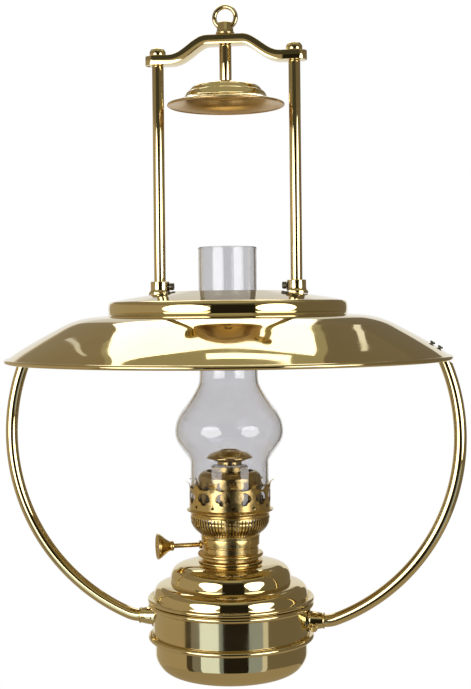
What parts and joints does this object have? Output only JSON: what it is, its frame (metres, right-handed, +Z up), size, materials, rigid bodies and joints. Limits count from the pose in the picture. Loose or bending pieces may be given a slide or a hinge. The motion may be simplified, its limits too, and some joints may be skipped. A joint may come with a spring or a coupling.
{
  "type": "hanging ship lamp",
  "caption": "Hanging brass oil lamp: dished shade and smoke bell on two rods, bent arms to a ring that holds a drop-in fount with a round-wick burner and glass chimney.",
  "frame": {"origin": "the suspension point: where a hook bears on the inner top of the suspension ring", "axes": "+Z up along the lamp's axis, X through the two arms and the two rods, -Y towards the viewer"},
  "size_m": [0.3788, 0.3604, 0.5391],
  "materials": {
    "polished_brass": "mirror polished and lacquered",
    "burner_brass": "bright spun and pressed",
    "satin_brass": "satin, warmed by the flame",
    "dark_steel": "darkened",
    "clear_glass": "clear blown glass",
    "cotton": "woven cotton"
  },
  "bodies": {
    "frame": {"yoke": "polished_brass", "ring_stud": "polished_brass", "smoke_bell_stem": "polished_brass", "smoke_bell": "satin_brass", "smoke_bell_nut": "dark_steel", "rod_left": "polished_brass", "rod_cap_nut_left": "polished_brass", "rod_socket_left": "polished_brass", "socket_screw_left": "dark_steel", "crown_nut_left": "polished_brass", "rod_right": "polished_brass", "rod_cap_nut_right": "polished_brass", "rod_socket_right": "polished_brass", "socket_screw_right": "dark_steel", "crown_nut_right": "polished_brass", "shade": "polished_brass", "arm_left": "polished_brass", "arm_lug_left": "polished_brass", "lug_screw_left_inner": "dark_steel", "lug_screw_left_outer": "dark_steel", "arm_socket_left": "polished_brass", "arm_screw_left": "polished_brass", "arm_right": "polished_brass", "arm_lug_right": "polished_brass", "lug_screw_right_inner": "dark_steel", "lug_screw_right_outer": "dark_steel", "arm_socket_right": "polished_brass", "arm_screw_right": "polished_brass", "fount_holder": "polished_brass"},
    "ring": {"suspension_ring": "polished_brass"},
    "fount": {"fount_bowl": "polished_brass", "fount_top": "polished_brass", "fount_collar": "burner_brass"},
    "burner": {"burner_base": "burner_brass", "burner_basket": "burner_brass", "wick_tube": "burner_brass", "draft_tube": "burner_brass", "winder_bush": "burner_brass"},
    "winder": {"winder_shaft": "burner_brass", "winder_knob": "burner_brass", "star_wheel_front": "dark_steel", "star_wheel_back": "dark_steel"},
    "wick": {"wick": "cotton"},
    "gallery": {"gallery": "burner_brass", "deflector_cap": "burner_brass"},
    "spreader": {"flame_spreader": "burner_brass"},
    "chimney": {"chimney": "clear_glass"}
  },
  "joints": [
    {"name": "ring_swing", "type": "hinge", "parent": "frame", "child": "ring", "pos_m": [0, 0, -0.01565], "axis": [1, 0, 0], "range_deg": [-40, 40]},
    {"name": "fount_lift", "type": "slide", "parent": "frame", "child": "fount", "axis": [0, 0, 1], "range_m": [0, 0.07]},
    {"name": "burner_turn", "type": "hinge", "parent": "fount", "child": "burner", "pos_m": [0, 0, -0.4425], "axis": [0, 0, 1], "range_deg": [0, 540]},
    {"name": "winder_turn", "type": "hinge", "parent": "burner", "child": "winder", "pos_m": [-0.00644, 0.01595, -0.436], "axis": [-0.9272, -0.3746, 0], "range_deg": [-220, 25]},
    {"name": "wick_raise", "type": "slide", "parent": "burner", "child": "wick", "axis": [0, 0, 1], "range_m": [-0.012, 0.0015]},
    {"name": "gallery_turn", "type": "hinge", "parent": "burner", "child": "gallery", "pos_m": [0, 0, -0.405], "axis": [0, 0, 1], "range_deg": [0, 20]},
    {"name": "spreader_lift", "type": "slide", "parent": "burner", "child": "spreader", "axis": [0, 0, 1], "range_m": [0, 0.03]},
    {"name": "chimney_lift", "type": "slide", "parent": "gallery", "child": "chimney", "axis": [0, 0, 1], "range_m": [0, 0.035]}
  ],
  "couplings": [
    {"joint": "wick_raise", "follows": "winder_turn", "m_per_rad": 0.0031}
  ]
}
